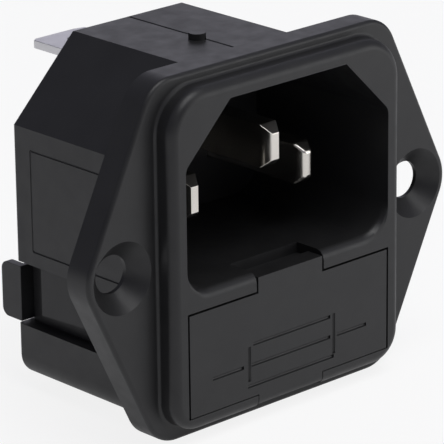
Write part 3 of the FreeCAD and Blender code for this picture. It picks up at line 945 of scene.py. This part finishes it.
@dataclass
class CartridgeFuse:
    """Glass tube with a plated cap at each end and a wire soldered between them."""

    prefix: str
    finishes: Finishes
    cap_wall_mm: float = 0.15
    cap_chamfer_mm: float = 0.1
    edge_mm: float = 0.3
    groove_mm: float = 0.05
    groove_half_mm: float = 0.25
    groove_in_mm: float = 0.9
    solder_radius_mm: float = 0.75
    solder_rim_mm: float = 1.125
    solder_rise_mm: float = 0.05
    glass_wall_mm: float = 0.5
    glass_chamfer_mm: float = 0.1
    lip_steps: int = 4

    def node_box(self, part: str) -> tuple[Vector, Vector]:
        """Lowest and highest corners of one of the fuse's nodes."""
        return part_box(f"{self.prefix}_{part}")

    def cap_profile(self, start: float, end: float, radius: float) -> list[tuple[float, float]]:
        """Section of a cap, open at its start and closed at its end.

        Args:
            start: X of the open rim in millimetres.
            end: X of the closed face.
            radius: outer radius.

        Returns:
            The points of the section.
        """
        edge, wall, groove = self.edge_mm, self.cap_wall_mm, self.groove_mm
        outside = [(start, radius - groove), (start + groove, radius)]
        dip, half = start + self.groove_in_mm, self.groove_half_mm
        outside += [(dip - half, radius), (dip, radius - groove), (dip + half, radius)]
        for step in range(self.lip_steps + 1):
            turn = math.pi / 2 * step / self.lip_steps
            outside.append((end - edge + edge * math.sin(turn), radius - edge + edge * math.cos(turn)))
        solder, rise = self.solder_radius_mm, self.solder_rise_mm
        dimple = [(end, self.solder_rim_mm), (end - rise, solder), (end - rise / 2, solder / 2),
                  (end - rise / 3, 0.0)]
        bore, chamfer = radius - wall, self.cap_chamfer_mm
        inside = [(end - wall, 0.0), (end - wall, bore - chamfer), (end - wall - chamfer, bore),
                  (start, bore)]
        return outside + dimple + inside

    def build(self) -> None:
        """Builds both caps, the glass and the wire."""
        low, high = self.node_box("glass")
        centre = (low + high) / 2
        reach, glass_radius = (high.x - centre.x) / MM, (high.z - centre.z) / MM
        bore, chamfer = glass_radius - self.glass_wall_mm, self.glass_chamfer_mm
        tube = [(-reach, bore + chamfer), (-reach + chamfer, bore),
                (reach - chamfer, bore), (reach, bore + chamfer),
                (reach, glass_radius - chamfer), (reach - chamfer, glass_radius),
                (-reach + chamfer, glass_radius), (-reach, glass_radius - chamfer)]
        parts = [("glass", Slot.GLASS, tube, 1)]
        low, high = self.node_box("wire")
        wire_reach, wire_radius = (high.x - centre.x) / MM, (high.z - centre.z) / MM
        parts.append(("wire", Slot.WIRE, [(-wire_reach, 0.0), (-wire_reach, wire_radius),
                                          (wire_reach, wire_radius), (wire_reach, 0.0)], 1))
        low, high = self.node_box("cap_right")
        cap = self.cap_profile((low.x - centre.x) / MM, (high.x - centre.x) / MM, (high.z - centre.z) / MM)
        parts += [("cap_right", Slot.CAP, cap, 1), ("cap_left", Slot.CAP, cap, -1)]
        for part, slot, profile, side in parts:
            piece = Turned(f"{self.prefix}_{part}_piece", profile, centre, side).obj
            piece.data.materials.append(self.finishes[slot])
            place(piece, Body.DRAWER, slot, f"{self.prefix}_{part}")


@dataclass(frozen=True)
class Softbox:
    """Square soft lamp that faces the object: its place and side in metres, its power in watts."""

    name: str
    place: Point
    side: float
    power: float
    colour: Colour = (1.0, 1.0, 1.0)

    def light(self) -> None:
        """Adds the lamp to the scene."""
        data = bpy.data.lights.new(self.name, "AREA")
        data.size, data.energy, data.color = self.side, self.power, self.colour
        obj = bpy.data.objects.new(self.name, data)
        obj.location = self.place
        obj.rotation_euler = (-Vector(self.place)).to_track_quat("-Z", "Y").to_euler()
        bpy.context.scene.collection.objects.link(obj)


@dataclass
class Studio:
    """Pale floor, soft lamps and the camera."""

    camera_mm: Point = (-200.13, -211.36, 102.44)
    right: Point = (0.72987, -0.68350, -0.01135)
    up: Point = (0.23470, 0.23495, 0.94325)
    lens_mm: float = 279.9
    sensor_mm: float = 36.0
    clip: tuple[float, float] = (0.01, 20.0)
    floor_size: float = 4.0
    floor_colour: Colour = (0.92, 0.92, 0.92)
    floor_roughness: float = 0.9
    seen_share: float = 0.85
    mirrored_share: float = 0.45
    horizon: Colour = (0.15, 0.15, 0.17)
    zenith: Colour = (0.20, 0.20, 0.245)
    zenith_from: float = 0.5
    softboxes: tuple[Softbox, ...] = (
        Softbox("overhead_softbox", (0.0, -0.25, 0.7), 0.5, 3.0),
        Softbox("fill_softbox", (0.32, -0.50, 0.22), 0.4, 0.45),
        Softbox("front_right_softbox", (0.125, -0.125, 0.03), 0.09, 0.036),
        Softbox("rear_softbox", (0.24, 0.25, 0.12), 0.2, 0.072, (0.92, 0.90, 1.0)),
    )

    def camera(self) -> None:
        """Sets the camera at its viewing angle."""
        data = bpy.data.cameras.new("camera")
        data.lens, data.sensor_width = self.lens_mm, self.sensor_mm
        data.clip_start, data.clip_end = self.clip
        right, up = Vector(self.right).normalized(), Vector(self.up).normalized()
        back = right.cross(up).normalized()
        turn = Matrix((right, back.cross(right), back)).transposed()
        obj = bpy.data.objects.new("camera", data)
        obj.matrix_world = Matrix.Translation(Vector(self.camera_mm) * MM) @ turn.to_4x4()
        bpy.context.scene.collection.objects.link(obj)
        bpy.context.scene.camera = obj

    def floor(self) -> None:
        """Lays the floor under the lowest point, white to the camera but for the shadow."""
        level = FRAME_BOX[0].z
        mesh = bpy.data.meshes.new("floor")
        tool = bmesh.new()
        bmesh.ops.create_grid(tool, x_segments=2, y_segments=2, size=self.floor_size / 2)
        bmesh.ops.translate(tool, verts=tool.verts, vec=(0.0, 0.0, level))
        tool.to_mesh(mesh)
        tool.free()
        tree = ShaderTree("pale_floor")
        tree.set(Base_Color=(*self.floor_colour, 1.0), Roughness=self.floor_roughness,
                 Specular_IOR_Level=0.0)
        mesh.materials.append(self.seen_white(tree))
        obj = bpy.data.objects.new("floor", mesh)
        bpy.context.scene.collection.objects.link(obj)

    def seen_white(self, tree: ShaderTree) -> bpy.types.Material:
        """Lightens a material for camera, mirror and transmitted rays, and leaves its shadows in part.

        Args:
            tree: the material's shader tree.

        Returns:
            The material.
        """
        nodes, links = tree.tree.nodes, tree.tree.links
        path = nodes.new("ShaderNodeLightPath")
        seen = None
        for name, share in (("Is Camera Ray", self.seen_share), ("Is Glossy Ray", self.mirrored_share),
                            ("Is Transmission Ray", self.seen_share)):
            scaled = nodes.new("ShaderNodeMath")
            scaled.operation = "MULTIPLY"
            scaled.inputs[1].default_value = share
            links.new(path.outputs[name], scaled.inputs[0])
            if seen:
                either = nodes.new("ShaderNodeMath")
                either.operation = "MAXIMUM"
                links.new(seen, either.inputs[0])
                links.new(scaled.outputs[0], either.inputs[1])
                scaled = either
            seen = scaled.outputs[0]
        white, mix = nodes.new("ShaderNodeEmission"), nodes.new("ShaderNodeMixShader")
        links.new(seen, mix.inputs["Fac"])
        links.new(tree.shader.outputs["BSDF"], mix.inputs[1])
        links.new(white.outputs["Emission"], mix.inputs[2])
        output = next(node for node in nodes if node.type == "OUTPUT_MATERIAL")
        links.new(mix.outputs["Shader"], output.inputs["Surface"])
        return tree.material

    def world(self) -> None:
        """Dim surroundings, with one tone at the horizon and one overhead, that the camera sees as white."""
        world = bpy.data.worlds.new("surroundings")
        world.use_nodes = True
        nodes, links = world.node_tree.nodes, world.node_tree.links
        nodes.clear()
        path, direction = nodes.new("ShaderNodeLightPath"), nodes.new("ShaderNodeTexCoord")
        split, ramp = nodes.new("ShaderNodeSeparateXYZ"), nodes.new("ShaderNodeValToRGB")
        links.new(direction.outputs["Generated"], split.inputs["Vector"])
        links.new(split.outputs["Z"], ramp.inputs["Fac"])
        stops = ramp.color_ramp.elements
        stops[0].position, stops[0].color = 0.0, (*self.horizon, 1.0)
        stops[1].position, stops[1].color = self.zenith_from, (*self.zenith, 1.0)
        around, white = nodes.new("ShaderNodeBackground"), nodes.new("ShaderNodeBackground")
        links.new(ramp.outputs["Color"], around.inputs["Color"])
        white.inputs["Color"].default_value = (1.0, 1.0, 1.0, 1.0)
        seen = nodes.new("ShaderNodeMath")
        seen.operation = "MAXIMUM"
        links.new(path.outputs["Is Camera Ray"], seen.inputs[0])
        links.new(path.outputs["Is Transmission Ray"], seen.inputs[1])
        mix, output = nodes.new("ShaderNodeMixShader"), nodes.new("ShaderNodeOutputWorld")
        links.new(seen.outputs[0], mix.inputs["Fac"])
        links.new(around.outputs["Background"], mix.inputs[1])
        links.new(white.outputs["Background"], mix.inputs[2])
        links.new(mix.outputs["Shader"], output.inputs["Surface"])
        bpy.context.scene.world = world

    def build(self) -> None:
        """Sets up the whole studio."""
        self.camera()
        self.floor()
        self.world()
        for softbox in self.softboxes:
            softbox.light()
        bpy.context.scene.view_settings.view_transform = "Standard"


def main() -> None:
    """Builds the studio and every piece in order."""
    logging.basicConfig(level=logging.INFO, format="%(name)s: %(message)s")
    Studio().build()
    finishes, engraving = Finishes(), EngravingTree()
    Housing(finishes, engraving).build()
    FuseDrawer(finishes, engraving).build()
    StampedParts(finishes).build()
    for prefix in ("fuse", "spare_fuse"):
        CartridgeFuse(prefix, finishes).build()


if __name__ == "__main__":
    main()
